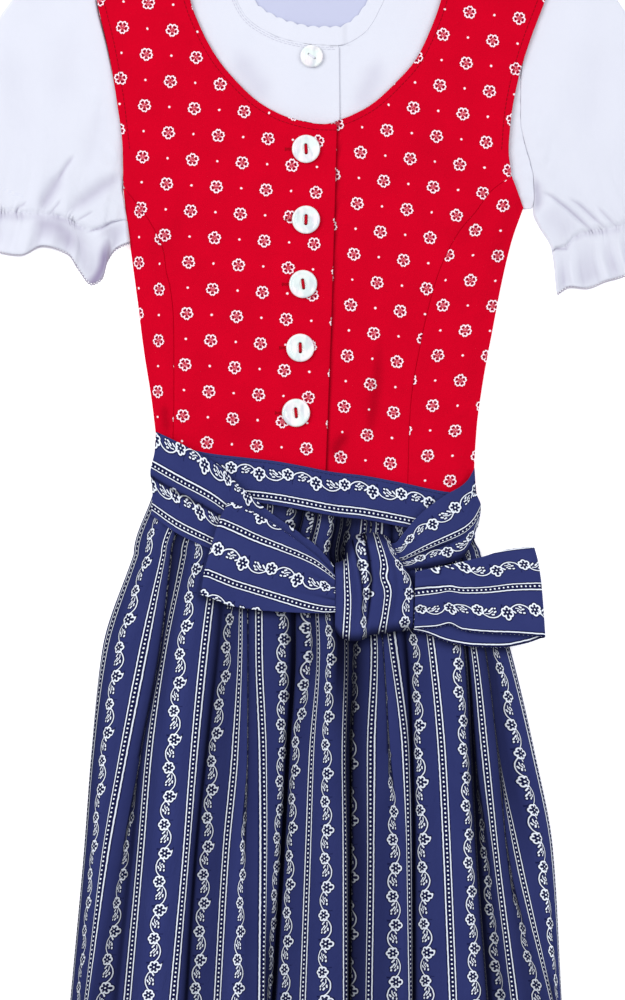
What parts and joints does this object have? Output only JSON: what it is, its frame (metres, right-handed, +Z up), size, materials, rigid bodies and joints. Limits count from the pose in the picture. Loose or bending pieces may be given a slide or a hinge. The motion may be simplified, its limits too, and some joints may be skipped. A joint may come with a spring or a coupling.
{
  "type": "child's dirndl with blouse and apron, laid flat",
  "caption": "Child's dirndl laid flat: red printed bodice buttoned down the front, white puff-sleeved blouse, navy striped apron tied in a bow.",
  "frame": {"origin": "on the surface that the dirndl lies on, under the middle of its whole outline", "axes": "+X to the viewer's right, +Y from the hem to the neck, +Z up, away from the surface"},
  "size_m": [0.536, 0.81, 0.0231],
  "materials": {
    "red_cotton": "matte",
    "white_cotton": "matte",
    "navy_cotton": "matte",
    "mother_of_pearl": "gloss"
  },
  "bodies": {
    "root": {"bodice_front_left": "red_cotton", "bodice_front_right": "red_cotton", "bodice_side_left": "red_cotton", "bodice_side_right": "red_cotton", "bodice_back": "red_cotton", "bodice_button_1": "mother_of_pearl", "bodice_button_2": "mother_of_pearl", "bodice_button_3": "mother_of_pearl", "bodice_button_4": "mother_of_pearl", "bodice_button_5": "mother_of_pearl", "skirt_front": "red_cotton", "skirt_back": "red_cotton", "blouse_front_left": "white_cotton", "blouse_front_right": "white_cotton", "blouse_back": "white_cotton", "blouse_neck_front": "white_cotton", "blouse_neck_back": "white_cotton", "blouse_sleeve_left": "white_cotton", "blouse_sleeve_right": "white_cotton", "blouse_button": "mother_of_pearl", "apron_panel": "navy_cotton", "apron_waistband": "navy_cotton", "apron_tie_left": "navy_cotton", "apron_tie_right": "navy_cotton", "bow_loop_left": "navy_cotton", "bow_loop_right": "navy_cotton", "bow_knot": "navy_cotton"}
  },
  "joints": []
}
